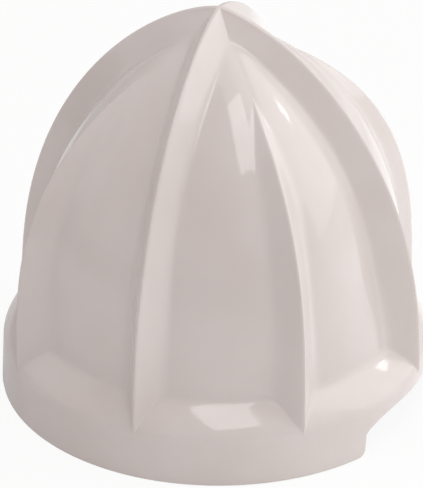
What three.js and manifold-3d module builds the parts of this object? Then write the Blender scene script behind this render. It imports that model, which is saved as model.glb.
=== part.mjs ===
// Reamer of a citrus juicer: a large fluted cone that lifts off the small fluted cone inside it.
// The small cone carries a drive bush with a hexagonal socket and a spring clip for the spindle.
// Millimetres, +Z up. The origin is on the cones' common axis, on the surface they stand on.
import * as THREE from "three";
import { mergeVertices } from "three/addons/utils/BufferGeometryUtils.js";
import Module from "manifold-3d";

const wasm = await Module();
wasm.setup();

// Fits shared by all pieces
const SEAT_GAP = 0.3; // between pieces that rest on or slide over each other
const WALL = 2; // moulded wall of both cones
const CUT_OVERRUN = 1; // how far a cutting solid runs past the face it cuts

// Large cone: collar
const COLLAR_RADIUS = 42;
const COLLAR_LEAN = 0.5; // how far the skirt leans in up to the shoulder's corner
const SKIRT_HEIGHT = 9.2; // the skirt's wall, up to where the shoulder starts to turn in
const SHOULDER_HEIGHT = 11.3; // where the lines of the wall and of the shoulder would meet
const LIP_HEIGHT = 15.3; // the shoulder's upper edge, which closes each flute
const LIP_RADIUS = 36.3;
const EDGE_BREAK = 0.4; // broken edges
const NOTCH_WIDTH = 36.8; // finger notch in the skirt, one on each side
const NOTCH_HEIGHT = 7.15;
const NOTCH_SIDE_HEIGHT = 3.4; // its sides stand upright up to here
const NOTCH_ARCH_REACH = 11.8; // then arch in over this width to the flat top
const NOTCH_LIP = 1; // rounding where its sides meet the table

// Large cone: flutes and ribs
const RIB_COUNT = 4; // long ribs, with as many short ones between them
const CONE_HEIGHT = 79.2;
const RIB_CREST_HALF = 0.45;
const LONG_RIB_FLARE = 0.67; // half width gained per millimetre of rib depth, on a wide cone
const LONG_RIB_FADE = 10.8; // crest radius where half of that flare is left, for a thin tip
const SHORT_RIB_FLARE = 0.72;
const SHORT_RIB_DROP = 5.2; // apex of the short ribs' curve below the tip
const FLUTE_FOOT_HEIGHT = 13;
const FLUTE_DROP = 4.2; // apex of the flute floor below the tip
const LOBE = 1.45; // the floor swells this much under the short ribs, above the lip
const LOBE_BIAS = 0.25; // share of it that is drawn in all round
const LOBE_FULL_HEIGHT = 34; // the lobes grow from the flutes' foot up to here
const LOBE_FADE_RADIUS = 8; // and the floor goes round again inside this radius
const GROOVE_CREST_WALL = 2.6; // wall left at the crest of a hollow rib
const GROOVE_FLARE_SHARE = 0.8; // slope of a hollow rib's inside to its outside
const GROOVE_CREST_HALF = 0.3;

// Small cone
const SMALL_HEIGHT = 58;
const SMALL_FLANGE_RADIUS = 27;
const SMALL_FLANGE_THICKNESS = 2.4;
const SMALL_CREST_RADIUS = 24.5;
const SMALL_FLUTE_DEPTH = 5;
const SMALL_FLUTE_DROP = 4;
const SMALL_SHORT_RIB_DROP = 6;
const SMALL_RIB_HALF = 1.3; // its ribs are parallel blades
const WEB_THICKNESS = 1.6; // webs between the hub and the shell
const WEB_FOOT_HEIGHT = 28; // the space below them clears the bowl's chimney

// Guides inside the large cone, one pair beside each long rib of the small cone
const GUIDE_THICKNESS = 1.8;
const GUIDE_FOOT_HEIGHT = 24;
const CROWN_BOSS_RADIUS = 6;

// Drive bush and spindle clip
const SOCKET_ACROSS_FLATS = 8.4;
const SOCKET_DEPTH = 24;
const BUSH_ACROSS_FLATS = 14;
const BUSH_ROOF = 4; // solid end above the socket
const BUSH_FLANGE_RADIUS = 9.5;
const BUSH_FLANGE_THICKNESS = 1.6;
const HUB_WALL = 2;
const HUB_FOOT_HEIGHT = 4;
const CLIP_WIRE = 1.2;
const CLIP_RADIUS = 4.75; // centre line of the wire
const CLIP_GAP_ANGLE = Math.PI / 3;
const CLIP_DEPTH = 3.9; // bush's lower face to the middle of the clip

// Fineness of the curved surfaces
const ROUND_STEPS = 64;
const SHOULDER_STEPS = 6;
const SHOULDER_OVERRUN = 0.25; // share of the shoulder's upper line that runs on into the ground
const LOBE_STEPS = 48;
const RISE_STEPS = 12;
const HIDDEN_ROUND_STEPS = 32; // surfaces inside the cones
const HIDDEN_RISE_STEPS = 7;
const SMALL_RISE_STEPS = 8;
const CLIP_STEPS = 16;
const CLIP_SIDES = 8;

const FULL_TURN = 2 * Math.PI;
const RIB_PITCH = FULL_TURN / RIB_COUNT;
const UP = new THREE.Vector3(0, 0, 1);

// Solids and booleans

function solid(geometry) {
  const bare = geometry.clone();
  bare.deleteAttribute("normal");
  bare.deleteAttribute("uv");
  const merged = mergeVertices(bare, 1e-4);
  return new wasm.Manifold(
    new wasm.Mesh({
      numProp: 3,
      vertProperties: new Float32Array(merged.attributes.position.array),
      triVerts: new Uint32Array(merged.index.array),
    }),
  );
}

function geometryOf(manifold) {
  const mesh = manifold.getMesh();
  const geometry = new THREE.BufferGeometry();
  geometry.setAttribute("position", new THREE.BufferAttribute(mesh.vertProperties, 3));
  geometry.setIndex(new THREE.BufferAttribute(mesh.triVerts, 1));
  geometry.computeVertexNormals();
  return geometry;
}

const joined = (solids) => solids.reduce((sum, next) => sum.add(next));

// Copies of one solid, turned about the axis.
function aroundAxis(count, startAngle, make) {
  return Array.from({ length: count }, (_, k) =>
    solid(make().rotateZ(startAngle + (k * FULL_TURN) / count)),
  );
}

// Basic forms about the vertical axis

// A profile of [radius, height] points turned about the axis.
function revolve(profile, steps = ROUND_STEPS) {
  const points = profile.map(([radius, height]) => new THREE.Vector2(radius, height));
  return new THREE.LatheGeometry(points, steps).rotateX(Math.PI / 2);
}

function cylinder(radius, foot, top, steps = ROUND_STEPS) {
  const geometry = new THREE.CylinderGeometry(radius, radius, top - foot, steps);
  return geometry.rotateX(Math.PI / 2).translate(0, 0, (foot + top) / 2);
}

const hexagon = (acrossFlats, foot, top) =>
  cylinder(acrossFlats / 2 / Math.cos(Math.PI / 6), foot, top, 6);

// A flat plate in an upright plane through the axis: outline in [radius, height], centred sideways.
function uprightPlate(outline, thickness, sideways = 0) {
  const shape = new THREE.Shape(outline.map(([r, z]) => new THREE.Vector2(r, z)));
  const plate = new THREE.ExtrudeGeometry(shape, { depth: thickness, bevelEnabled: false });
  return plate.rotateX(Math.PI / 2).translate(0, sideways + thickness / 2, 0);
}

// Level sections, all with the same number of points, skinned from the lowest to the highest.
function loft(heights, sectionAt) {
  const sections = heights.map((z) => sectionAt(z).map((p) => [p.x, p.y, z]));
  const count = sections[0].length;
  const positions = sections.flat(2);
  const index = [];
  for (let row = 0; row < sections.length - 1; row++) {
    for (let i = 0; i < count; i++) {
      const a = row * count + i;
      const b = row * count + ((i + 1) % count);
      index.push(a, b, b + count, a, b + count, a + count);
    }
  }
  const cap = (row, upward) => {
    const middle = positions.length / 3;
    positions.push(0, 0, heights[row]);
    for (let i = 0; i < count; i++) {
      const a = row * count + i;
      const b = row * count + ((i + 1) % count);
      index.push(middle, ...(upward ? [a, b] : [b, a]));
    }
  };
  cap(0, false);
  cap(sections.length - 1, true);
  const geometry = new THREE.BufferGeometry();
  geometry.setAttribute("position", new THREE.Float32BufferAttribute(positions, 3));
  geometry.setIndex(index);
  return geometry;
}

// The cones' curves

// A pointed dome: its radius at each height. Swell keeps the foot upright, blunt rounds the top.
function ogive({ radius, foot, top, swell, blunt }) {
  const at = (z) => {
    const share = THREE.MathUtils.clamp((z - foot) / (top - foot), 0, 1);
    return radius * Math.pow(1 - Math.pow(share, swell), blunt);
  };
  return { at, foot, top };
}

// Heights from a dome's foot to just under its apex, closer together towards the top.
function rise(foot, top, steps) {
  const nearApex = 0.985;
  return Array.from({ length: steps + 1 }, (_, i) => {
    const share = Math.sin(((i / steps) * nearApex * Math.PI) / 2);
    return foot + (top - foot) * share;
  });
}

const FLUTE_CURVE = { swell: 2.5, blunt: 0.69 };
const LONG_RIB_CURVE = { swell: 2.28, blunt: 0.65 };
const SHORT_RIB_CURVE = { swell: 3.12, blunt: 0.76 };

// A flute floor with lobes under the short ribs.
function lobedDome(dome, aroundSteps, riseSteps) {
  return loft(rise(dome.foot, dome.top, riseSteps), (z) => {
    const mean = dome.at(z);
    const grown = THREE.MathUtils.smoothstep(z, FLUTE_FOOT_HEIGHT, LOBE_FULL_HEIGHT);
    const swell = LOBE * grown * (1 - Math.exp(-mean / LOBE_FADE_RADIUS));
    return Array.from({ length: aroundSteps }, (_, i) => {
      const angle = (i * FULL_TURN) / aroundSteps;
      const radius = mean - swell * (LOBE_BIAS + Math.cos(RIB_COUNT * angle));
      return new THREE.Vector2(radius * Math.cos(angle), radius * Math.sin(angle));
    });
  });
}

// How much wider a rib gets with depth, where its crest is this far from the axis.
const longFlare = (reach) => (LONG_RIB_FLARE * reach) / (reach + LONG_RIB_FADE);
const shortFlare = () => SHORT_RIB_FLARE;
const noFlare = () => 0;
const groove = (flareAt) => (reach) => GROOVE_FLARE_SHARE * flareAt(reach);

// One rib along +X: its level section runs from the axis out to the crest.
function rib(crest, crestHalf, flareAt, riseSteps) {
  return loft(rise(crest.foot, crest.top, riseSteps), (z) => {
    const reach = crest.at(z);
    const shoulder = Math.max(reach - crestHalf, reach / 2);
    const root = crestHalf + shoulder * flareAt(reach);
    return [
      new THREE.Vector2(0, -root),
      new THREE.Vector2(shoulder, -crestHalf),
      new THREE.Vector2(reach, 0),
      new THREE.Vector2(shoulder, crestHalf),
      new THREE.Vector2(0, root),
    ];
  });
}

const ribRing = (startAngle, crest, crestHalf, flareAt, riseSteps) =>
  aroundAxis(RIB_COUNT, startAngle, () => rib(ogive(crest), crestHalf, flareAt, riseSteps));

// Large cone

const skirtTopRadius = COLLAR_RADIUS - (COLLAR_LEAN * SKIRT_HEIGHT) / SHOULDER_HEIGHT;
const longCrest = {
  radius: skirtTopRadius,
  foot: SKIRT_HEIGHT,
  top: CONE_HEIGHT,
  ...LONG_RIB_CURVE,
};
const shortCrest = { ...longCrest, top: CONE_HEIGHT - SHORT_RIB_DROP, ...SHORT_RIB_CURVE };
const fluteFloor = {
  radius: LIP_RADIUS,
  foot: FLUTE_FOOT_HEIGHT,
  top: CONE_HEIGHT - FLUTE_DROP,
  ...FLUTE_CURVE,
};

// A hollow rib follows the rib outside it, less the wall at its crest.
const hollow = (crest, foot) => ({
  ...crest,
  radius: crest.radius - GROOVE_CREST_WALL,
  foot,
  top: crest.top - 2 * GROOVE_CREST_WALL,
});

// The skirt, the shoulder that turns in from it to the lip, and the solid ground inside.
function collarProfile() {
  const skirtTop = new THREE.Vector2(skirtTopRadius, SKIRT_HEIGHT);
  const corner = new THREE.Vector2(COLLAR_RADIUS - COLLAR_LEAN, SHOULDER_HEIGHT);
  const lip = new THREE.Vector2(LIP_RADIUS, LIP_HEIGHT);
  const shoulder = new THREE.QuadraticBezierCurve(skirtTop, corner, lip).getPoints(SHOULDER_STEPS);
  const intoGround = lip.clone().lerp(corner, -SHOULDER_OVERRUN);
  return [
    [0, 0],
    [COLLAR_RADIUS - EDGE_BREAK, 0],
    [COLLAR_RADIUS, EDGE_BREAK],
    ...[...shoulder, intoGround].map((p) => [p.x, p.y]),
    [0, intoGround.y],
  ];
}

// The hollow under the collar.
function skirtHollowProfile(ceiling) {
  const inside = COLLAR_RADIUS - WALL;
  const corner = WALL;
  return [
    [0, -CUT_OVERRUN],
    [inside, -CUT_OVERRUN],
    [inside - COLLAR_LEAN, ceiling - corner],
    [inside - COLLAR_LEAN - corner, ceiling],
    [0, ceiling],
  ];
}

// Finger notch in the skirt on the +X side: upright sides under a flat arch.
function notch() {
  const half = NOTCH_WIDTH / 2;
  const archMiddle = half - NOTCH_ARCH_REACH;
  const archRise = NOTCH_HEIGHT - NOTCH_SIDE_HEIGHT;
  const [leftward, upward, rightward] = [Math.PI, Math.PI / 2, 0];
  const shape = new THREE.Shape();
  shape.moveTo(-half - NOTCH_LIP, -CUT_OVERRUN);
  shape.lineTo(-half - NOTCH_LIP, 0);
  shape.quadraticCurveTo(-half, 0, -half, NOTCH_LIP);
  shape.lineTo(-half, NOTCH_SIDE_HEIGHT);
  shape.absellipse(
    -archMiddle, NOTCH_SIDE_HEIGHT, NOTCH_ARCH_REACH, archRise, leftward, upward, true,
  );
  shape.lineTo(archMiddle, NOTCH_HEIGHT);
  shape.absellipse(
    archMiddle, NOTCH_SIDE_HEIGHT, NOTCH_ARCH_REACH, archRise, upward, rightward, true,
  );
  shape.lineTo(half, NOTCH_LIP);
  shape.quadraticCurveTo(half, 0, half + NOTCH_LIP, 0);
  shape.lineTo(half + NOTCH_LIP, -CUT_OVERRUN);
  const depth = COLLAR_RADIUS;
  const cut = new THREE.ExtrudeGeometry(shape, { depth, bevelEnabled: false, curveSegments: 5 });
  return cut.rotateX(Math.PI / 2).rotateZ(Math.PI / 2).translate(CUT_OVERRUN, 0, 0);
}

// Small cone's curves, which the guides inside the large cone follow.
const smallFloor = ogive({
  radius: SMALL_CREST_RADIUS - SMALL_FLUTE_DEPTH,
  foot: SMALL_FLANGE_THICKNESS,
  top: SMALL_HEIGHT - SMALL_FLUTE_DROP,
  ...FLUTE_CURVE,
});
const smallLongCrest = {
  radius: SMALL_CREST_RADIUS,
  foot: SMALL_FLANGE_THICKNESS / 2,
  top: SMALL_HEIGHT,
  ...LONG_RIB_CURVE,
};
const smallShortCrest = {
  ...smallLongCrest,
  top: SMALL_HEIGHT - SMALL_SHORT_RIB_DROP,
  ...SHORT_RIB_CURVE,
};

// A guide plate: its inner edge follows the small cone's flute, its outer edge runs into the shell.
function guide(side) {
  const innermost = SMALL_RIB_HALF + SEAT_GAP;
  const steps = rise(smallFloor.foot, smallFloor.top, SMALL_RISE_STEPS);
  const heights = [GUIDE_FOOT_HEIGHT, ...steps.filter((z) => z > GUIDE_FOOT_HEIGHT)];
  const innerEdge = heights.map((z) => [Math.max(smallFloor.at(z) + SEAT_GAP, innermost), z]);
  const outline = [
    [COLLAR_RADIUS, GUIDE_FOOT_HEIGHT],
    [COLLAR_RADIUS, CONE_HEIGHT],
    [innermost, CONE_HEIGHT],
    ...innerEdge.reverse(),
  ];
  const offset = SMALL_RIB_HALF + SEAT_GAP + GUIDE_THICKNESS / 2;
  return uprightPlate(outline, GUIDE_THICKNESS, side * offset);
}

function largeCone() {
  const ground = solid(lobedDome(ogive(fluteFloor), LOBE_STEPS, RISE_STEPS));
  const outside = joined([
    ground,
    solid(revolve(collarProfile())),
    ...ribRing(0, longCrest, RIB_CREST_HALF, longFlare, RISE_STEPS),
    ...ribRing(RIB_PITCH / 2, shortCrest, RIB_CREST_HALF, shortFlare, RISE_STEPS),
  ]);

  const ceiling = SKIRT_HEIGHT + WALL;
  const grooveFoot = ceiling - CUT_OVERRUN;
  const insideFloor = {
    ...fluteFloor,
    radius: fluteFloor.radius - WALL,
    foot: grooveFoot,
    top: fluteFloor.top - WALL,
  };
  const longGroove = hollow(longCrest, grooveFoot);
  const shortGroove = hollow(shortCrest, grooveFoot);
  const [longSides, shortSides] = [groove(longFlare), groove(shortFlare)];
  const inside = joined([
    solid(lobedDome(ogive(insideFloor), HIDDEN_ROUND_STEPS, HIDDEN_RISE_STEPS)),
    solid(revolve(skirtHollowProfile(ceiling))),
    ...ribRing(0, longGroove, GROOVE_CREST_HALF, longSides, HIDDEN_RISE_STEPS),
    ...ribRing(RIB_PITCH / 2, shortGroove, GROOVE_CREST_HALF, shortSides, HIDDEN_RISE_STEPS),
  ]);

  const guides = joined([
    ...aroundAxis(RIB_COUNT, 0, () => guide(1)),
    ...aroundAxis(RIB_COUNT, 0, () => guide(-1)),
    solid(cylinder(CROWN_BOSS_RADIUS, SMALL_HEIGHT + SEAT_GAP, CONE_HEIGHT, HIDDEN_ROUND_STEPS)),
  ]);
  const notches = joined(aroundAxis(2, 0, notch));
  return outside.subtract(inside).add(guides.intersect(ground)).subtract(notches);
}

// Small cone

const bushBottom = HUB_FOOT_HEIGHT - SEAT_GAP - BUSH_FLANGE_THICKNESS;
const bushTop = bushBottom + SOCKET_DEPTH + BUSH_ROOF;
const pocketAcrossFlats = BUSH_ACROSS_FLATS + 2 * SEAT_GAP;
const hubRadius = pocketAcrossFlats / 2 / Math.cos(Math.PI / 6) + HUB_WALL;

function smallFlangeProfile() {
  const half = SMALL_FLANGE_THICKNESS / 2;
  return [
    [0, 0],
    [SMALL_FLANGE_RADIUS - half, 0],
    [SMALL_FLANGE_RADIUS, half],
    [SMALL_FLANGE_RADIUS - half, SMALL_FLANGE_THICKNESS],
    [0, SMALL_FLANGE_THICKNESS],
  ];
}

// A dome as a [radius, height] profile, closed on the axis.
function domeProfile(dome, foot) {
  const heights = rise(dome.foot, dome.top, SMALL_RISE_STEPS);
  return [
    [0, foot],
    [dome.at(dome.foot), foot],
    ...heights.map((z) => [dome.at(z), z]),
    [0, heights.at(-1)],
  ];
}

function smallCone() {
  const outside = joined([
    solid(revolve(smallFlangeProfile())),
    solid(revolve(domeProfile(smallFloor, SMALL_FLANGE_THICKNESS / 2), LOBE_STEPS)),
    ...ribRing(0, smallLongCrest, SMALL_RIB_HALF, noFlare, SMALL_RISE_STEPS),
    ...ribRing(RIB_PITCH / 2, smallShortCrest, SMALL_RIB_HALF, noFlare, SMALL_RISE_STEPS),
  ]);
  const insideFloor = ogive({
    radius: SMALL_CREST_RADIUS - SMALL_FLUTE_DEPTH - WALL,
    foot: SMALL_FLANGE_THICKNESS,
    top: SMALL_HEIGHT - SMALL_FLUTE_DROP - WALL,
    ...FLUTE_CURVE,
  });
  const webOutline = [
    [0, WEB_FOOT_HEIGHT],
    [SMALL_CREST_RADIUS, WEB_FOOT_HEIGHT],
    [SMALL_CREST_RADIUS, SMALL_HEIGHT],
    [0, SMALL_HEIGHT],
  ];
  const kept = joined([
    solid(cylinder(hubRadius, HUB_FOOT_HEIGHT, SMALL_HEIGHT, HIDDEN_ROUND_STEPS)),
    ...aroundAxis(RIB_COUNT, 0, () => uprightPlate(webOutline, WEB_THICKNESS)),
  ]);
  const hollowProfile = domeProfile(insideFloor, -CUT_OVERRUN);
  const inside = solid(revolve(hollowProfile, HIDDEN_ROUND_STEPS)).subtract(kept);
  const pocket = solid(hexagon(pocketAcrossFlats, -CUT_OVERRUN, bushTop + SEAT_GAP));
  return outside.subtract(inside).subtract(pocket);
}

// Drive bush and spindle clip

const clipHeight = bushBottom + CLIP_DEPTH;

function driveBush() {
  const flange = solid(
    cylinder(BUSH_FLANGE_RADIUS, bushBottom, bushBottom + BUSH_FLANGE_THICKNESS),
  );
  const body = solid(hexagon(BUSH_ACROSS_FLATS, bushBottom, bushTop));
  const socket = solid(
    hexagon(SOCKET_ACROSS_FLATS, bushBottom - CUT_OVERRUN, bushBottom + SOCKET_DEPTH),
  );
  const grooveHalf = CLIP_WIRE / 2 + SEAT_GAP;
  const groove = solid(
    cylinder(
      CLIP_RADIUS + grooveHalf,
      clipHeight - grooveHalf,
      clipHeight + grooveHalf,
      HIDDEN_ROUND_STEPS,
    ),
  );
  return flange.add(body).subtract(socket).subtract(groove);
}

// An open ring of round wire.
function spindleClip() {
  const start = CLIP_GAP_ANGLE / 2;
  class RingPath extends THREE.Curve {
    getPoint(share, target = new THREE.Vector3()) {
      const angle = start + share * (FULL_TURN - CLIP_GAP_ANGLE);
      return target
        .set(Math.cos(angle), Math.sin(angle), 0)
        .multiplyScalar(CLIP_RADIUS)
        .addScaledVector(UP, clipHeight);
    }
  }
  const wire = new THREE.Shape();
  wire.absarc(0, 0, CLIP_WIRE / 2, 0, FULL_TURN);
  return new THREE.ExtrudeGeometry(wire, {
    extrudePath: new RingPath(),
    steps: CLIP_STEPS,
    curveSegments: CLIP_SIDES,
  });
}

// Assembly

const glossWhite = { color: 0xe9e2df, roughness: 0.18, metalness: 0 };
const satinWhite = { color: 0xe4dfda, roughness: 0.35, metalness: 0 };
const bushGrey = { color: 0x8d8f91, roughness: 0.45, metalness: 0 };
const springSteel = { color: 0xb9bcc0, roughness: 0.3, metalness: 1 };

function piece(name, geometry, finish) {
  const mesh = new THREE.Mesh(geometry, new THREE.MeshStandardMaterial(finish));
  mesh.name = name;
  return mesh;
}

const smallConeSet = new THREE.Group();
smallConeSet.add(
  piece("small_cone", geometryOf(smallCone()), satinWhite),
  piece("drive_bush", geometryOf(driveBush()), bushGrey),
  piece("spindle_clip", geometryOf(solid(spindleClip())), springSteel),
);

const reamer = new THREE.Group();
reamer.add(piece("large_cone", geometryOf(largeCone()), glossWhite), smallConeSet);

export default reamer;
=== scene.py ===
from math import asin, cos, pi, radians, sin

import bmesh
import bpy
from mathutils import Matrix, Vector


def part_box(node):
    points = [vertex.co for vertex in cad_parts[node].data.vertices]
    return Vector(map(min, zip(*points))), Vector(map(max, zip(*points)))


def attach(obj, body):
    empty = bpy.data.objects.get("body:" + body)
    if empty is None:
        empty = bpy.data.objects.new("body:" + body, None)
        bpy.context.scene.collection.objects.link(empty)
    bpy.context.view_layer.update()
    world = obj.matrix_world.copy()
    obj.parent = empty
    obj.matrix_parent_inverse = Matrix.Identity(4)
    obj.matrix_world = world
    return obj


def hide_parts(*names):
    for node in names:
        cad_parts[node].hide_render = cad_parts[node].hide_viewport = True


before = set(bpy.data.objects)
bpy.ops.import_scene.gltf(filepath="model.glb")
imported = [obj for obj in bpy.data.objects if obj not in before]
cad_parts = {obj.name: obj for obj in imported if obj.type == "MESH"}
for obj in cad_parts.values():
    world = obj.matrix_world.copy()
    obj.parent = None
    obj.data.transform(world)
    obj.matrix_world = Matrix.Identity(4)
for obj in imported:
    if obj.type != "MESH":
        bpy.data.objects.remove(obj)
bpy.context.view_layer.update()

mm = 0.001
turn = 2 * pi
coneLow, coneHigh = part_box("large_cone")
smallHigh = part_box("small_cone")[1]
clipLow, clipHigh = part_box("spindle_clip")
scene = bpy.context.scene
scene.view_settings.view_transform = "Standard"
print("frame loaded:", ", ".join(sorted(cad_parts)))


# Node trees written as sums: a Wire is a socket, a Board is the tree it is on

class Wire:
    def __init__(self, board, socket):
        self.board, self.socket = board, socket

    def out(self, name):  # another output of the same node
        return Wire(self.board, self.socket.node.outputs[name])

    def math(self, operation, *others):
        values = dict(enumerate((self,) + others))
        return self.board.node("ShaderNodeMath", {"operation": operation}, values)

    def __add__(self, other):
        return self.math("ADD", other)

    def __sub__(self, other):
        return self.math("SUBTRACT", other)

    def __rsub__(self, other):
        return self.board.node("ShaderNodeMath", {"operation": "SUBTRACT"}, {0: other, 1: self})

    def __mul__(self, other):
        return self.math("MULTIPLY", other)

    def __truediv__(self, other):
        return self.math("DIVIDE", other)

    def __pow__(self, other):
        return self.math("POWER", other)

    def __neg__(self):
        return self * -1

    def __abs__(self):
        return self.math("ABSOLUTE")

    __radd__ = __add__
    __rmul__ = __mul__

    def least(self, other):
        return self.math("MINIMUM", other)

    def most(self, other):
        return self.math("MAXIMUM", other)

    def eased(self, low, high):  # 0 below low, 1 above high, smooth between
        return self.board.node(
            "ShaderNodeMapRange",
            {"interpolation_type": "SMOOTHSTEP"},
            {"Value": self, "From Min": low, "From Max": high},
        )


class Board:
    def __init__(self, tree):
        self.tree = tree

    def noise(self, place, scale, detail):
        sockets = {"Vector": place, "Scale": scale, "Detail": detail}
        return self.node("ShaderNodeTexNoise", {}, sockets)

    def mixed(self, factor, low, high):  # two colours
        sockets = {"Factor": factor, "A": low, "B": high}
        return self.node("ShaderNodeMix", {"data_type": "RGBA"}, sockets)

    def bump(self, strength, distance, height):
        sockets = {"Strength": strength, "Distance": distance, "Height": height}
        return self.node("ShaderNodeBump", {}, sockets)

    def node(self, kind, settings=None, sockets=None):
        node = self.tree.nodes.new(kind)
        for key, value in (settings or {}).items():
            setattr(node, key, value)
        for key, value in (sockets or {}).items():
            named = (s for s in node.inputs if s.name == key and s.enabled)
            socket = node.inputs[key] if isinstance(key, int) else next(named)
            for one in value if isinstance(value, list) else [value]:
                if isinstance(one, Wire):
                    self.tree.links.new(one.socket, socket)
                else:
                    socket.default_value = one
        return Wire(self, next((s for s in node.outputs if s.enabled), None))

    def inputs(self, names):  # named inputs of a geometry tree, as wires
        for name in names:
            self.tree.interface.new_socket(name, in_out="INPUT", socket_type="NodeSocketFloat")
        group = self.node("NodeGroupInput")
        return {name: group.out(name) for name in names}


def geometryBoard(name, geometryIn=False):
    board = Board(bpy.data.node_groups.new(name, "GeometryNodeTree"))
    face = board.tree.interface
    face.new_socket("Geometry", in_out="OUTPUT", socket_type="NodeSocketGeometry")
    if geometryIn:
        face.new_socket("Geometry", in_out="INPUT", socket_type="NodeSocketGeometry")
    return board


def finishTree(board, geometry, material):  # every tree ends the same way
    real = board.node("GeometryNodeRealizeInstances", {}, {"Geometry": geometry})
    dressed = board.node("GeometryNodeSetMaterial", {}, {"Geometry": real, "Material": material})
    board.node("NodeGroupOutput", {}, {0: dressed})


def grown(name, tree, sizes, mesh=None):  # runs a tree and keeps its plain mesh
    obj = bpy.data.objects.new(name, mesh or bpy.data.meshes.new(name))
    scene.collection.objects.link(obj)
    modifier = obj.modifiers.new("grow", "NODES")
    modifier.node_group = tree
    for item in tree.interface.items_tree:
        if item.in_out == "INPUT" and item.name in sizes:
            modifier[item.identifier] = sizes[item.name]
    graph = bpy.context.evaluated_depsgraph_get()
    result = bpy.data.meshes.new_from_object(obj.evaluated_get(graph), depsgraph=graph)
    obj.modifiers.clear()
    obj.data = result
    obj.data.name = name
    return obj


def tidyMesh(obj):  # closed seams, outward faces
    bm = bmesh.new()
    bm.from_mesh(obj.data)
    bmesh.ops.remove_doubles(bm, verts=bm.verts, dist=0.001 * mm)
    bmesh.ops.dissolve_degenerate(bm, edges=bm.edges, dist=0.0005 * mm)
    bmesh.ops.recalc_face_normals(bm, faces=bm.faces)
    for face in bm.faces:
        face.smooth = True
    bm.to_mesh(obj.data)
    bm.free()


def joined(name, pieces):  # one object from several meshes
    bm = bmesh.new()
    for piece in pieces:
        bm.from_mesh(piece.data)
    mesh = bpy.data.meshes.new(name)
    for material in pieces[0].data.materials:
        mesh.materials.append(material)
    bm.to_mesh(mesh)
    bm.free()
    for piece in pieces:
        bpy.data.objects.remove(piece)
    obj = bpy.data.objects.new(name, mesh)
    scene.collection.objects.link(obj)
    return obj


# Camera, where the photograph was taken from

photo = {
    "width": 423,
    "height": 488,
    "focalPixels": 4215,
    "azimuth": radians(21.96),
    "elevation": radians(29.09),
    "roll": radians(0.31),
    "distance": 807.6 * mm,
    "axisHeight": 35 * mm,  # this point of the axis
    "axisPixel": (218.1, 213.9),  # is seen here
}


def addCamera(view):
    az, el, roll = view["azimuth"], view["elevation"], view["roll"]
    back = Vector((sin(az) * cos(el), -cos(az) * cos(el), sin(el)))
    right = Vector((cos(az), sin(az), 0))
    up = back.cross(right)
    right, up = right * cos(roll) + up * sin(roll), up * cos(roll) - right * sin(roll)
    across = view["width"] / 2 - view["axisPixel"][0]
    down = view["height"] / 2 - view["axisPixel"][1]
    forward = (-back * view["focalPixels"] + right * across - up * down).normalized()
    right = (right - forward * right.dot(forward)).normalized()
    up = right.cross(forward)
    data = bpy.data.cameras.new("photoCamera")
    data.sensor_fit = "VERTICAL"
    data.sensor_height = 36
    data.lens = view["focalPixels"] * data.sensor_height / view["height"]
    data.clip_start, data.clip_end = 0.01, 50
    camera = bpy.data.objects.new("photoCamera", data)
    axes = Matrix((right, up, -forward)).transposed().to_4x4()
    place = Vector((0, 0, view["axisHeight"])) + back * view["distance"]
    camera.matrix_world = Matrix.Translation(place) @ axes
    scene.collection.objects.link(camera)
    scene.camera = camera


addCamera(photo)
print("camera set")


# Finishes

def shaderBoard(name):
    material = bpy.data.materials.new(name)
    material.use_nodes = True
    material.node_tree.nodes.clear()
    return material, Board(material.node_tree)


def glossWhite():
    look = {
        "pale": (0.80, 0.757, 0.735, 1),
        "deep": (0.765, 0.717, 0.692, 1),
        "roughness": 0.07,
        "ior": 1.53,
        "cloudScale": 48,  # slow colour drift of the moulding
        "flowScale": 120,  # flow lines from the gate at the tip
        "flowStretch": (1, 1, 0.22),
        "hazeScale": 900,  # fine handling haze
        "hazeRoughness": 0.05,
        "flowRoughness": 0.04,
        "ripple": 0.035 * mm,
        "rippleStrength": 0.35,
    }
    material, board = shaderBoard("glossWhite")
    place = board.node("ShaderNodeTexCoord").out("Object")
    cloud = board.noise(place, look["cloudScale"], 3.0)
    stretched = board.node("ShaderNodeMapping", {}, {"Vector": place, "Scale": look["flowStretch"]})
    flow = board.noise(stretched, look["flowScale"], 2.0)
    haze = board.noise(place, look["hazeScale"], 4.0)
    drift = (cloud * 0.7 + flow * 0.3).eased(0.35, 0.65)
    colour = board.mixed(drift, look["deep"], look["pale"])
    hazy = haze.eased(0.45, 0.75) * look["hazeRoughness"]
    rough = look["roughness"] + (hazy + (flow - 0.5) * look["flowRoughness"])
    bump = board.bump(look["rippleStrength"], look["ripple"], cloud * 0.6 + flow * 0.4)
    surface = board.node(
        "ShaderNodeBsdfPrincipled",
        {},
        {"Base Color": colour, "Roughness": rough, "Normal": bump, "IOR": look["ior"]},
    )
    board.node("ShaderNodeOutputMaterial", {}, {"Surface": surface})
    return material


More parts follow.
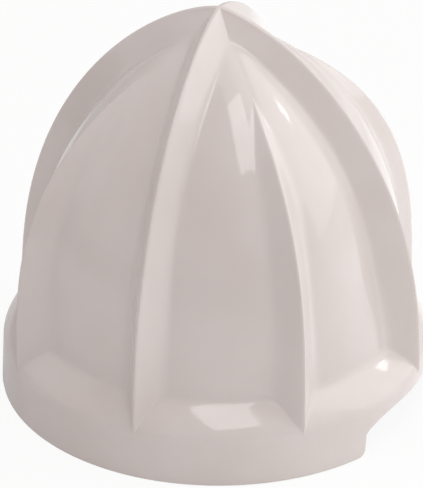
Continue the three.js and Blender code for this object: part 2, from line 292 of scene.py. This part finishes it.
def satinWhite():
    look = {
        "pale": (0.79, 0.745, 0.72, 1),
        "deep": (0.75, 0.70, 0.67, 1),
        "roughness": 0.27,
        "ior": 1.5,
        "grainScale": 2200,  # lightly sparked mould
        "grainRoughness": 0.08,
        "grainDepth": 0.02 * mm,
        "grainStrength": 0.2,
        "cloudScale": 60,
    }
    material, board = shaderBoard("satinWhite")
    place = board.node("ShaderNodeTexCoord").out("Object")
    cloud = board.noise(place, look["cloudScale"], 3.0)
    grain = board.noise(place, look["grainScale"], 2.0)
    colour = board.mixed(cloud.eased(0.35, 0.65), look["deep"], look["pale"])
    rough = look["roughness"] + grain * look["grainRoughness"]
    bump = board.bump(look["grainStrength"], look["grainDepth"], grain)
    surface = board.node(
        "ShaderNodeBsdfPrincipled",
        {},
        {"Base Color": colour, "Roughness": rough, "Normal": bump, "IOR": look["ior"]},
    )
    board.node("ShaderNodeOutputMaterial", {}, {"Surface": surface})
    return material


def bushGrey():
    look = {
        "pale": (0.30, 0.305, 0.315, 1),
        "deep": (0.24, 0.245, 0.255, 1),
        "roughness": 0.42,
        "rubbedBright": 0.14,  # how much smoother the rubbed places are
        "speckScale": 700,
        "speckDepth": 0.02 * mm,
        "speckStrength": 0.2,
        "rubbedScale": 180,
    }
    material, board = shaderBoard("bushGrey")
    place = board.node("ShaderNodeTexCoord").out("Object")
    speck = board.noise(place, look["speckScale"], 4.0)
    rubbed = board.noise(place, look["rubbedScale"], 3.0)
    colour = board.mixed(speck.eased(0.3, 0.7), look["deep"], look["pale"])
    rough = look["roughness"] - rubbed.eased(0.4, 0.8) * look["rubbedBright"]
    bump = board.bump(look["speckStrength"], look["speckDepth"], speck)
    surface = board.node(
        "ShaderNodeBsdfPrincipled", {}, {"Base Color": colour, "Roughness": rough, "Normal": bump}
    )
    board.node("ShaderNodeOutputMaterial", {}, {"Surface": surface})
    return material


def springWire():
    look = {
        "bright": (0.56, 0.57, 0.58, 1),
        "dull": (0.42, 0.43, 0.45, 1),
        "roughness": 0.24,
        "drawnRoughness": 0.12,
        "drawnScale": 1600,
    }
    material, board = shaderBoard("springWire")
    place = board.node("ShaderNodeTexCoord").out("Object")
    drawn = board.noise(place, look["drawnScale"], 3.0)
    colour = board.mixed(drawn, look["dull"], look["bright"])
    rough = look["roughness"] + drawn * look["drawnRoughness"]
    surface = board.node(
        "ShaderNodeBsdfPrincipled", {}, {"Base Color": colour, "Roughness": rough, "Metallic": 1.0}
    )
    board.node("ShaderNodeOutputMaterial", {}, {"Surface": surface})
    return material


gloss, satin, bush, wire = glossWhite(), satinWhite(), bushGrey(), springWire()
print("finishes made")


# The ribbed dome: radius at an angle and a height, shared by both cones

fluteCurve = {"swell": 2.5, "blunt": 0.69}
longCurve = {"swell": 2.28, "blunt": 0.65}
shortCurve = {"swell": 3.12, "blunt": 0.76}
ribSizes = [
    "floorRadius", "floorFoot", "floorTop", "lobe", "lobeBias", "lobeFull", "lobeFade",
    "ribRadius", "ribFoot", "longTop", "shortTop", "crestHalf", "longFlare", "flareFade",
    "shortFlare", "shortSpread", "crestBlend", "footBlend", "baseBlend",
]


def domeAt(height, radius, foot, top, curve):  # the same dome in plain numbers
    share = min(max((height - foot) / (top - foot), 0), 1)
    return radius * (1 - share ** curve["swell"]) ** curve["blunt"]


def domeWire(height, radius, foot, top, curve):
    share = ((height - foot) / (top - foot)).most(0).least(1)
    return radius * (1 - share ** curve["swell"]).most(0) ** curve["blunt"]


def ribbedRadiusTree():
    board = Board(bpy.data.node_groups.new("ribbedRadius", "GeometryNodeTree"))
    board.tree.interface.new_socket("radius", in_out="OUTPUT", socket_type="NodeSocketFloat")
    size = board.inputs(["angle", "height"] + ribSizes)
    mean = domeWire(size["height"], size["floorRadius"], size["floorFoot"], size["floorTop"], fluteCurve)
    aboveLip = size["height"].eased(size["floorFoot"], size["lobeFull"])
    lobe = size["lobe"] * aboveLip * (1 - (-mean / size["lobeFade"]).math("EXPONENT"))
    floor = mean - lobe * ((size["angle"] * 4).math("COSINE") + size["lobeBias"])

    def rib(start, reach, flare, rounding):
        angle = size["angle"] - start
        away = angle - (angle / (pi / 2)).math("ROUND") * (pi / 2)
        crest = size["crestHalf"]
        face = ((reach - crest) * flare + crest) / (away.math("COSINE") * flare + abs(away.math("SINE")))
        return reach.math("SMOOTH_MIN", face, rounding.least(size["crestBlend"]))

    longReach, shortReach = (
        domeWire(size["height"], size["ribRadius"], size["ribFoot"], size[top], curve)
        for top, curve in (("longTop", longCurve), ("shortTop", shortCurve))
    )
    longFlare = size["longFlare"] * longReach / (longReach + size["flareFade"])  # thin towards the tip
    shortFlare = size["shortFlare"] + size["shortSpread"] * (1 - shortReach / size["ribRadius"]) ** 2
    depth = (shortReach - floor).most(0)
    longRib = rib(0, longReach, longFlare, longReach * 0.5)
    shortRib = rib(pi / 4, shortReach, shortFlare, depth * 0.5 + 0.1 * mm)  # its upper end is sharp
    blend = (longReach * 0.12).least(size["footBlend"] + size["baseBlend"] * (1 - aboveLip))
    shortBlend = (depth * 0.5).most(0.05 * mm).least(blend)
    outer = floor.math("SMOOTH_MAX", longRib, blend).math("SMOOTH_MAX", shortRib, shortBlend)
    board.node("NodeGroupOutput", {}, {"radius": outer})
    return board.tree


ribbedRadius = ribbedRadiusTree()


def roundedCorner(t, start, corner, end):  # a point of the curve that rounds a corner
    weights = ((1 - t) * (1 - t), (1 - t) * t * 2, t * t)
    return [sum((w * p[k] for w, p in zip(weights, (start, corner, end))), 0) for k in (0, 1)]


class Skin:  # strips of surface between the tip and the inside, on the same columns
    def __init__(self, board, ribs, columns, crowding):
        self.board, self.columns, self.strips = board, columns, []
        split = board.node("ShaderNodeSeparateXYZ", {}, {0: board.node("GeometryNodeInputPosition")})
        across = (split + 0.5) * ribs  # a rib crest at every whole number
        self.t = split.out("Y") + 0.5
        crest = across.math("ROUND")
        away = across - crest
        spread = away * (abs(away) * (2 * (1 - crowding)) + crowding)  # columns crowd at the crests
        self.angle = (crest + spread) * (turn / ribs)

    def radius(self, height, sizes, angle=None):
        values = {"angle": angle or self.angle, "height": height, **sizes}
        return self.board.node("GeometryNodeGroup", {"node_tree": ribbedRadius}, values)

    def strip(self, rows, radius, height, angle=None):
        angle = angle or self.angle
        node = self.board.node
        grid = node(
            "GeometryNodeMeshGrid",
            {},
            {"Size X": 1.0, "Size Y": 1.0, "Vertices X": self.columns + 1, "Vertices Y": rows + 1},
        )
        x, y = radius * angle.math("COSINE"), radius * angle.math("SINE")
        place = node("ShaderNodeCombineXYZ", {}, {"X": x, "Y": y, "Z": height})
        self.strips.append(node("GeometryNodeSetPosition", {}, {"Geometry": grid, "Position": place}))

    def bend(self, rows, start, corner, end, angle=None):
        self.strip(rows, *roundedCorner(self.t, start, corner, end), angle)

    def straight(self, rows, start, end, angle=None):
        mix = [start[k] + (end[k] - start[k]) * self.t for k in (0, 1)]
        self.strip(rows, *mix, angle)

    def closed(self, material):
        whole = self.board.node("GeometryNodeJoinGeometry", {}, {0: self.strips})
        merged = self.board.node(
            "GeometryNodeMergeByDistance", {}, {"Geometry": whole, "Distance": 0.002 * mm}
        )
        finishTree(self.board, merged, material)
        return self.board.tree


# Large cone: ribbed dome, shoulder, skirt with its finger notches, and the hollow inside

collarRadius = (coneHigh.y - coneLow.y) / 2
coneHeight = coneHigh.z
largeCone = {
    "collarRadius": collarRadius,
    "collarLean": 0.5 * mm,
    "skirtHeight": 9.2 * mm,  # the shoulder turns in from here
    "shoulderHeight": 11.3 * mm,  # where the lines of skirt and shoulder would meet
    "lipHeight": 15.3 * mm,  # the shoulder's upper edge, where the flutes end
    "lipRadius": collarRadius - 5.7 * mm,
    "cornerFillet": 1.1 * mm,  # where the flutes meet the shoulder
    "edgeBreak": 0.45 * mm,
    "wall": 2 * mm,
    "ceiling": 11.2 * mm,  # under the shoulder
    "notchHeight": 7.15 * mm,
    "notchSide": 3.4 * mm,  # its sides stand upright up to here
    "notchArch": 12.4 * mm,  # then arch in over this length to the flat top
    "notchLip": 1.4 * mm,  # rounding where its sides meet the table
    "notchAngle": asin(18.4 * mm / collarRadius),  # from the notch's middle to its side
}
largeRibs = {
    "floorRadius": largeCone["lipRadius"],
    "floorFoot": 13 * mm,
    "floorTop": coneHeight - 4.2 * mm,
    "lobe": 1.45 * mm,
    "lobeBias": 0.25,
    "lobeFull": 34 * mm,
    "lobeFade": 8 * mm,
    "ribRadius": collarRadius - 0.23 * mm,
    "ribFoot": 9.2 * mm,
    "longTop": coneHeight,
    "shortTop": coneHeight - 5.2 * mm,
    "crestHalf": 0.45 * mm,
    "longFlare": 0.67,
    "flareFade": 10.8 * mm,
    "shortFlare": 0.72,
    "shortSpread": 1.2,
    "crestBlend": 1.0 * mm,
    "footBlend": 1.6 * mm,
    "baseBlend": 2.4 * mm,  # wider fillets towards the lip
}
largeHollow = {
    **largeRibs,
    "floorRadius": largeRibs["floorRadius"] - 2 * mm,
    "floorFoot": 10.2 * mm,
    "floorTop": largeRibs["floorTop"] - 2 * mm,
    "ribRadius": largeRibs["ribRadius"] - 2.7 * mm,
    "ribFoot": 10.2 * mm,
    "longTop": largeRibs["longTop"] - 5.2 * mm,
    "shortTop": largeRibs["shortTop"] - 5.2 * mm,
    "crestHalf": 0.3 * mm,
    "longFlare": 0.54,
    "shortFlare": 0.58,
    "shortSpread": 0.0,
    "crestBlend": 0.6 * mm,
    "footBlend": 1.0 * mm,
    "baseBlend": 0.0,
}


largeRows = {"dome": 104, "corner": 7, "skirt": 36, "edge": 10, "wall": 6, "ceiling": 6, "hollow": 36}
notchWindow = radians(9)  # columns crowd this far either side of a notch's side
notchCrowding = 1.9


def largeConeTree(material):
    board = geometryBoard("largeConeSkin")
    size = board.inputs(list(largeCone) + ribSizes + ["hollow " + name for name in ribSizes])
    outside = {name: size[name] for name in ribSizes}
    inside = {name: size["hollow " + name] for name in ribSizes}
    skin = Skin(board, ribs=8, columns=384, crowding=0.4)
    angle, t = skin.angle, skin.t

    # collar path: 0 at the lip, over the shoulder to 1 at the skirt's top, down to 2 at the table
    shoulder = size["collarRadius"] - size["collarLean"]
    skirtLean = size["collarLean"] * size["skirtHeight"] / size["shoulderHeight"]
    skirtTop = (size["collarRadius"] - skirtLean, size["skirtHeight"])
    bandCorner = (shoulder, size["shoulderHeight"])
    lip = (size["lipRadius"], size["lipHeight"])

    def collar(run):
        radius, height = roundedCorner(run.least(1), lip, bandCorner, skirtTop)
        down = (run - 1).most(0)
        return radius + skirtLean * down, height - size["skirtHeight"] * down

    # the ribs and flutes run down to the collar where it has their radius
    foot = skin.radius(size["floorFoot"], outside)
    lead = (shoulder - lip[0]) * 2
    bow = shoulder * 2 - lip[0] - skirtTop[0]
    left = (lead * lead - bow * 4 * (foot - lip[0])).most(0).math("SQRT")
    reached = ((lead - left) / (bow * 2)).least(1)
    corner = collar(reached)
    fillet = size["cornerFillet"]
    domeEnd = corner[1] + fillet
    height = size["longTop"] - (size["longTop"] - domeEnd) * (1 - (t * (pi / 2)).math("COSINE"))
    skin.strip(largeRows["dome"], skin.radius(height, outside), height)
    start = reached + fillet / lead
    skin.bend(
        largeRows["corner"], (skin.radius(domeEnd, outside), domeEnd), corner, collar(start)
    )

    # skirt, whose lower edge rises at the notches; columns crowd at the notch's sides
    halfTurns = (angle / pi).math("ROUND") * pi
    fromNotch = angle - halfTurns
    side = fromNotch.math("SIGN")
    off = (abs(fromNotch) - size["notchAngle"]) / notchWindow
    near = abs(off).least(1)
    crowd = off.math("SIGN") * (near ** notchCrowding - near) * notchWindow * side
    swept = t.eased(0.15, 0.9)
    lowered = angle + crowd * swept
    atEdge = angle + crowd
    into = (size["notchAngle"] - abs(atEdge - halfTurns)) * size["collarRadius"]
    arch = 1 - (into / size["notchArch"]).most(0).least(1)
    archRise = (size["notchHeight"] - size["notchSide"]) * (1 - arch ** 2).math("SQRT")
    turnedIn = (into / size["notchLip"] + 1).most(0).least(1)
    lipRise = size["notchLip"] * (1 - (1 - turnedIn * turnedIn).math("SQRT"))
    upright = (size["notchSide"] - size["notchLip"]) * into.eased(0, 0.35 * mm)
    edge = lipRise + upright + archRise
    edgeBreak = size["edgeBreak"]
    end = 2 - (edge + edgeBreak) / size["skirtHeight"]
    radius, height = collar(start + (end - start) * t)
    skin.strip(largeRows["skirt"], radius, height, lowered)

    # rounded lower edge, then up inside
    outerEdge = collar(end)
    innerEdge = outerEdge[0] - size["wall"]
    sweep = (1 - (t * pi).math("COSINE")) * 0.5
    roundness = (t * pi).math("SINE").most(0) ** 0.4
    under = edge + edgeBreak * (1 - roundness)
    skin.strip(largeRows["edge"], outerEdge[0] - size["wall"] * sweep, under, atEdge)
    inner = shoulder - size["wall"]
    wallTop = size["ceiling"] - size["wall"]
    spread = angle + crowd * (1 - t.eased(0.1, 0.9))
    skin.straight(largeRows["wall"], (innerEdge, edge + edgeBreak), (inner, wallTop), spread)
    hollowFoot = skin.radius(size["ceiling"], inside)
    ceiling = size["ceiling"] - (hollowFoot - inner + size["wall"]).most(0)
    skin.bend(largeRows["ceiling"], (inner, wallTop), (inner, ceiling), (hollowFoot, ceiling))
    height = ceiling + (size["hollow longTop"] - ceiling) * (t * (pi / 2)).math("SINE")
    skin.strip(largeRows["hollow"], skin.radius(height, inside), height)
    return skin.closed(material)


def ringTree(name, material):  # copies of one piece round the axis
    board = geometryBoard(name, geometryIn=True)
    size = board.inputs(["count"])
    shape = board.tree.nodes[-1].outputs["Geometry"]
    points = board.node("GeometryNodePoints", {}, {"Count": size["count"]})
    step = board.node("GeometryNodeInputIndex") * turn / size["count"]
    spin = board.node("ShaderNodeCombineXYZ", {}, {"Z": step})
    copies = board.node(
        "GeometryNodeInstanceOnPoints",
        {},
        {"Points": points, "Instance": Wire(board, shape), "Rotation": spin},
    )
    finishTree(board, copies, material)
    return board.tree


def plate(outline, thickness, sideways, edge):  # upright plate in the XZ plane, edges broken
    bm = bmesh.new()
    near = sideways - thickness / 2
    face = bm.faces.new([bm.verts.new((r, near, z)) for r, z in outline])
    made = bmesh.ops.extrude_face_region(bm, geom=[face])["geom"]
    moved = [v for v in made if isinstance(v, bmesh.types.BMVert)]
    bmesh.ops.translate(bm, vec=(0, thickness, 0), verts=moved)
    bmesh.ops.recalc_face_normals(bm, faces=bm.faces)
    bmesh.ops.bevel(bm, geom=bm.edges[:], offset=edge, segments=2, profile=0.5, affect="EDGES")
    return bm


def turned(name, profile, steps, material):  # a closed profile of (radius, height) turned about the axis
    bm = bmesh.new()
    rings = []
    for k in range(steps):
        a = k * turn / steps
        rings.append([bm.verts.new((r * cos(a), r * sin(a), z)) for r, z in profile])
    for k in range(steps):
        here, there = rings[k], rings[(k + 1) % steps]
        for i in range(len(profile)):
            j = (i + 1) % len(profile)
            bm.faces.new((here[i], there[i], there[j], here[j]))
    bmesh.ops.recalc_face_normals(bm, faces=bm.faces)
    mesh = bpy.data.meshes.new(name)
    bm.to_mesh(mesh)
    bm.free()
    mesh.materials.append(material)
    obj = bpy.data.objects.new(name, mesh)
    scene.collection.objects.link(obj)
    return obj


def plateRing(name, bm, count, material):
    mesh = bpy.data.meshes.new(name)
    bm.to_mesh(mesh)
    bm.free()
    return grown(name, ringTree(name + "Ring", material), {"count": float(count)}, mesh)


# Sizes of the small cone, which the guides inside the large one follow

smallHeight = smallHigh.z
smallCone = {
    "flangeRadius": smallHigh.x,
    "flange": 2.4 * mm,
    "cornerFillet": 0.8 * mm,
    "hollowRadius": 17.5 * mm,
    "hollowTop": smallHeight - 6 * mm,
}
smallRibs = {
    "floorRadius": 19.5 * mm,
    "floorFoot": 2.4 * mm,
    "floorTop": smallHeight - 4 * mm,
    "lobe": 0.0,
    "lobeBias": 0.0,
    "lobeFull": 34 * mm,
    "lobeFade": 8 * mm,
    "ribRadius": 24.5 * mm,
    "ribFoot": 1.2 * mm,
    "longTop": smallHeight,
    "shortTop": smallHeight - 6 * mm,
    "crestHalf": 1.3 * mm,
    "longFlare": 0.02,
    "flareFade": 0.0,
    "shortFlare": 0.02,
    "shortSpread": 0.0,
    "crestBlend": 1.5 * mm,
    "footBlend": 1.2 * mm,
    "baseBlend": 0.0,
}
guides = {
    "thickness": 1.8 * mm,
    "foot": 24 * mm,
    "gap": 0.3 * mm,
    "bossRadius": 6 * mm,
    "edge": 0.25 * mm,
    "sunk": 0.4 * mm,  # how far the plates stop inside the flute's outer face
}


def makeLargeCone():
    sizes = {**largeCone, **largeRibs, **{"hollow " + k: v for k, v in largeHollow.items()}}
    shell = grown("largeShell", largeConeTree(gloss), sizes)
    tidyMesh(shell)

    def shellSide(z):  # just inside the flute floor beside a long rib
        floor = domeAt(z, largeRibs["floorRadius"], largeRibs["floorFoot"], largeRibs["floorTop"], fluteCurve)
        return floor - largeRibs["lobe"] * (1 + largeRibs["lobeBias"]) - guides["sunk"]

    def smallSide(z):
        floor = domeAt(z, smallRibs["floorRadius"], smallRibs["floorFoot"], smallRibs["floorTop"], fluteCurve)
        return max(floor + guides["gap"], smallRibs["crestHalf"] + guides["gap"])

    bossFoot = smallHeight + guides["gap"]
    bossTop = largeHollow["floorTop"]
    rise = [guides["foot"] + (bossTop - guides["foot"]) * sin(i / 16 * pi / 2) for i in range(16)]
    outline = [(shellSide(z), z) for z in rise]
    top = max(z for z in rise if shellSide(z) > guides["bossRadius"])
    outline = [p for p in outline if p[1] <= top]
    outline += [(smallSide(z), z) for z in reversed(rise) if z <= top]
    offset = smallRibs["crestHalf"] + guides["gap"] + guides["thickness"] / 2
    pair = plate(outline, guides["thickness"], offset, guides["edge"])
    other = plate(outline, guides["thickness"], -offset, guides["edge"])
    spare = bpy.data.meshes.new("spare")
    other.to_mesh(spare)
    other.free()
    pair.from_mesh(spare)
    plates = plateRing("largeGuides", pair, 4, gloss)
    r, e = guides["bossRadius"], guides["edge"]
    boss = turned(
        "crownBoss",
        [(0.02 * mm, bossFoot), (r - e, bossFoot), (r, bossFoot + e), (r, bossTop), (0.02 * mm, bossTop)],
        64,
        gloss,
    )
    return joined("largeCone", [shell, plates, boss])


largeConePiece = makeLargeCone()
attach(largeConePiece, "large_cone")
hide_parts("large_cone")
print("large cone:", len(largeConePiece.data.polygons), "faces")


# Small cone: blades on a round dome, a flange, a hub and its webs

hub = {
    "radius": 10.43 * mm,
    "bore": 8.55 * mm,
    "foot": 4 * mm,
    "top": 41.3 * mm,
    "webFoot": 28 * mm,
    "web": 1.6 * mm,
    "edge": 0.3 * mm,
}


smallRows = {"dome": 72, "corner": 5, "flange": 3, "rim": 10, "under": 3, "hollow": 40}


def smallConeTree(material):
    board = geometryBoard("smallConeSkin")
    size = board.inputs(list(smallCone) + ribSizes)
    outside = {name: size[name] for name in ribSizes}
    skin = Skin(board, ribs=8, columns=320, crowding=0.45)
    t, top = skin.t, size["longTop"]
    flange, fillet = size["flange"], size["cornerFillet"]
    half = flange * 0.5
    domeEnd = flange + fillet
    height = top - (top - domeEnd) * (1 - (t * (pi / 2)).math("COSINE"))
    skin.strip(smallRows["dome"], skin.radius(height, outside), height)
    foot = skin.radius(flange, outside)
    rim = size["flangeRadius"] - half
    domeFoot = (skin.radius(domeEnd, outside), domeEnd)
    skin.bend(smallRows["corner"], domeFoot, (foot, flange), (foot + fillet, flange))
    level = flange + t * 0
    skin.strip(smallRows["flange"], foot + fillet + (rim - foot - fillet) * t, level)
    bend = t * pi
    skin.strip(smallRows["rim"], rim + half * bend.math("SINE"), half + half * bend.math("COSINE"))
    inner = size["hollowRadius"]
    skin.strip(smallRows["under"], rim + (inner - rim) * t, t * 0)
    height = size["hollowTop"] * (t * (pi / 2)).math("SINE")
    hollow = domeWire(height, inner, flange, size["hollowTop"], fluteCurve)
    skin.strip(smallRows["hollow"], hollow, height)
    return skin.closed(material)


def makeSmallCone():
    shell = grown("smallShell", smallConeTree(satin), {**smallCone, **smallRibs})
    tidyMesh(shell)
    r, b, e = hub["radius"], hub["bore"], hub["edge"]
    low, high = hub["foot"], hub["top"]
    tube = turned("hubTube", [(b, low), (r - e, low), (r, low + e), (r, high), (b, high)], 96, satin)

    def shellSide(z):
        return domeAt(z, smallCone["hollowRadius"], smallCone["flange"], smallCone["hollowTop"], fluteCurve)

    steps = [hub["webFoot"] + (high - hub["webFoot"]) * i / 5 for i in range(6)]
    outline = [(b + e, z) for z in steps[::5]]
    outline += [(shellSide(z) + e, z) for z in reversed(steps)]
    webs = plateRing("hubWebs", plate(outline, hub["web"], 0, e / 2), 4, satin)
    return joined("smallCone", [shell, tube, webs])


smallConePiece = makeSmallCone()
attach(smallConePiece, "small_cone_set")
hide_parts("small_cone")
print("small cone:", len(smallConePiece.data.polygons), "faces")


# Drive bush keeps its CAD shape; the clip is drawn wire

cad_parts["drive_bush"].data.materials.clear()
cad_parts["drive_bush"].data.materials.append(bush)

clip = {
    "wire": clipHigh.z - clipLow.z,
    "outside": (clipHigh.y - clipLow.y) / 2,
    "height": (clipHigh.z + clipLow.z) / 2,
    "gap": radians(60),
}


def clipTree(material):
    board = geometryBoard("spindleClip")
    size = board.inputs(["wire", "outside", "height", "gap"])
    arc = board.node(
        "GeometryNodeCurveArc",
        {"mode": "RADIUS"},
        {
            "Resolution": 97,
            "Radius": size["outside"] - size["wire"] * 0.5,
            "Start Angle": size["gap"] * 0.5,
            "Sweep Angle": turn - size["gap"],
        },
    )
    section = board.node(
        "GeometryNodeCurvePrimitiveCircle", {}, {"Resolution": 16, "Radius": size["wire"] * 0.5}
    )
    tube = board.node(
        "GeometryNodeCurveToMesh", {}, {"Curve": arc, "Profile Curve": section, "Fill Caps": True}
    )
    lift = board.node("ShaderNodeCombineXYZ", {}, {"Z": size["height"]})
    placed = board.node("GeometryNodeTransform", {}, {"Geometry": tube, "Translation": lift})
    finishTree(board, placed, material)
    return board.tree


clipPiece = grown("spindleClip", clipTree(wire), clip)
tidyMesh(clipPiece)
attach(clipPiece, "small_cone_set")
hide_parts("spindle_clip")
print("bush and clip done")


# Studio: pale floor, a window on the right, panels above and a white room that fades to the left

white = (1, 1, 1, 1)
studio = {
    "floor": (0.93, 0.925, 0.92, 1),
    "floorKept": 0.09,  # share of real light, and so of shadow, that the camera sees on the floor
    "paintedPoolRadius": 0.2,  # the gloss mirrors a painted pool of light on the floor this far round the object
    "paintedPoolGlow": 0.95,  # painted glow of that pool, which the gloss mirrors in place of a lit floor
    # painted glow of the floor beyond that pool, as the gloss mirrors it
    "paintedGlowBeyond": 0.6,
    "paintedSideGlow": 0.42,  # and how much more painted glow on the window's side, less on the far side
    "room": 0.33,
    "roomLean": 0.42,  # brighter towards the window
    "roomColour": (1, 0.90, 0.895, 1),
    "windowAzimuth": 106,  # from the camera's own, as for the lamps
    "windowElevation": 31,
}
lamps = [
    {
        "name": "window",
        "azimuth": studio["windowAzimuth"],
        "elevation": studio["windowElevation"],
        "distance": 1.1,
        "size": (1.15, 1.2),
        "radiance": 0.96,
        "colour": (0.92, 1, 1),
    },
    {
        "name": "windowBulb",
        "azimuth": 113,
        "elevation": 31,
        "distance": 0.9,
        "size": (0.08, 0.11),
        "radiance": 5,
        "colour": (1, 1, 1),
    },
    {
        "name": "ceilingPanel",
        "azimuth": 30,
        "elevation": 86,
        "distance": 0.8,
        "size": (0.6, 0.6),
        "radiance": 0.7,
        "colour": (1, 0.98, 0.97),
    },
    {
        "name": "shoulderSoftbox",
        "azimuth": 7,
        "elevation": 60,
        "distance": 0.8,
        "size": (0.3, 0.45),
        "roll": 16,
        "radiance": 2.7,
        "colour": (1, 0.98, 0.97),
    },
    {
        "name": "leftFill",
        "azimuth": -100,
        "elevation": 25,
        "distance": 0.9,
        "size": (0.75, 0.6),
        "radiance": 0.35,
        "colour": (1, 0.98, 0.97),
    },
]


def towards(azimuth, elevation):  # degrees, seen from the axis
    az, el = photo["azimuth"] + radians(azimuth), radians(elevation)
    return Vector((sin(az) * cos(el), -cos(az) * cos(el), sin(el)))


def addLamp(name, azimuth, elevation, distance, size, radiance, colour, roll=0):
    back = towards(azimuth, elevation)
    data = bpy.data.lights.new(name, "AREA")
    data.shape = "RECTANGLE"
    data.size, data.size_y = size
    data.energy, data.color = radiance * pi * size[0] * size[1], colour
    lamp = bpy.data.objects.new(name, data)
    lamp.matrix_world = (
        Matrix.Translation(Vector((0, 0, photo["axisHeight"])) + back * distance)
        @ back.to_track_quat("Z", "Y").to_matrix().to_4x4()
        @ Matrix.Rotation(radians(roll), 4, "Z")
    )
    scene.collection.objects.link(lamp)


def rays(board):
    path = board.node("ShaderNodeLightPath")
    return path.out("Is Camera Ray").most(path.out("Is Transmission Ray")), path.out("Is Glossy Ray")


def leaning(board, vector, way):  # 1 where a vector points that way, -1 opposite
    unit = board.node("ShaderNodeVectorMath", {"operation": "NORMALIZE"}, {0: vector}).out("Vector")
    sockets = {0: unit, 1: tuple(way)}
    return board.node("ShaderNodeVectorMath", {"operation": "DOT_PRODUCT"}, sockets).out("Value")


def addFloor():
    material, board = shaderBoard("floorWhite")
    seen, mirrored = rays(board)
    place = board.node("ShaderNodeTexCoord").out("Object")
    away = board.node("ShaderNodeVectorMath", {"operation": "LENGTH"}, {0: place}).out("Value")
    # painted light: gloss rays see the floor glow, a painted pool of light round the object that is brighter
    # towards the window and darker away from it
    past = away.eased(studio["paintedPoolRadius"], studio["paintedPoolRadius"] * 1.6)
    side = leaning(board, place, towards(studio["windowAzimuth"], 0))
    even = studio["paintedPoolGlow"] + past * (studio["paintedGlowBeyond"] - studio["paintedPoolGlow"])
    lit = even + side * studio["paintedSideGlow"]
    matt = board.node("ShaderNodeBsdfDiffuse", {}, {"Color": studio["floor"]})
    strength = seen.most(mirrored * lit)
    glow = board.node("ShaderNodeEmission", {}, {"Color": white, "Strength": strength})
    share = (seen * (1 - studio["floorKept"])).most(mirrored)
    both = board.node("ShaderNodeMixShader", {}, {0: share, 1: matt, 2: glow})
    board.node("ShaderNodeOutputMaterial", {}, {"Surface": both})
    bm = bmesh.new()
    bmesh.ops.create_grid(bm, x_segments=1, y_segments=1, size=6)
    mesh = bpy.data.meshes.new("studioFloor")
    bm.to_mesh(mesh)
    bm.free()
    mesh.materials.append(material)
    floor = bpy.data.objects.new("studioFloor", mesh)
    floor.location.z = -0.05 * mm
    scene.collection.objects.link(floor)


def addRoom():
    world = bpy.data.worlds.new("whiteRoom")
    world.use_nodes = True
    world.node_tree.nodes.clear()
    board = Board(world.node_tree)
    seen = rays(board)[0]
    way = board.node("ShaderNodeTexCoord").out("Generated")
    window = towards(studio["windowAzimuth"], studio["windowElevation"])
    plain = studio["room"] + leaning(board, way, window).eased(0, 1) * studio["roomLean"]
    colour = board.mixed(seen, studio["roomColour"], white)
    strength = plain + seen * (1 - plain)
    room = board.node("ShaderNodeBackground", {}, {"Color": colour, "Strength": strength})
    board.node("ShaderNodeOutputWorld", {}, {"Surface": room})
    scene.world = world


addFloor()
addRoom()
for lamp in lamps:
    addLamp(**lamp)
print("studio lit")
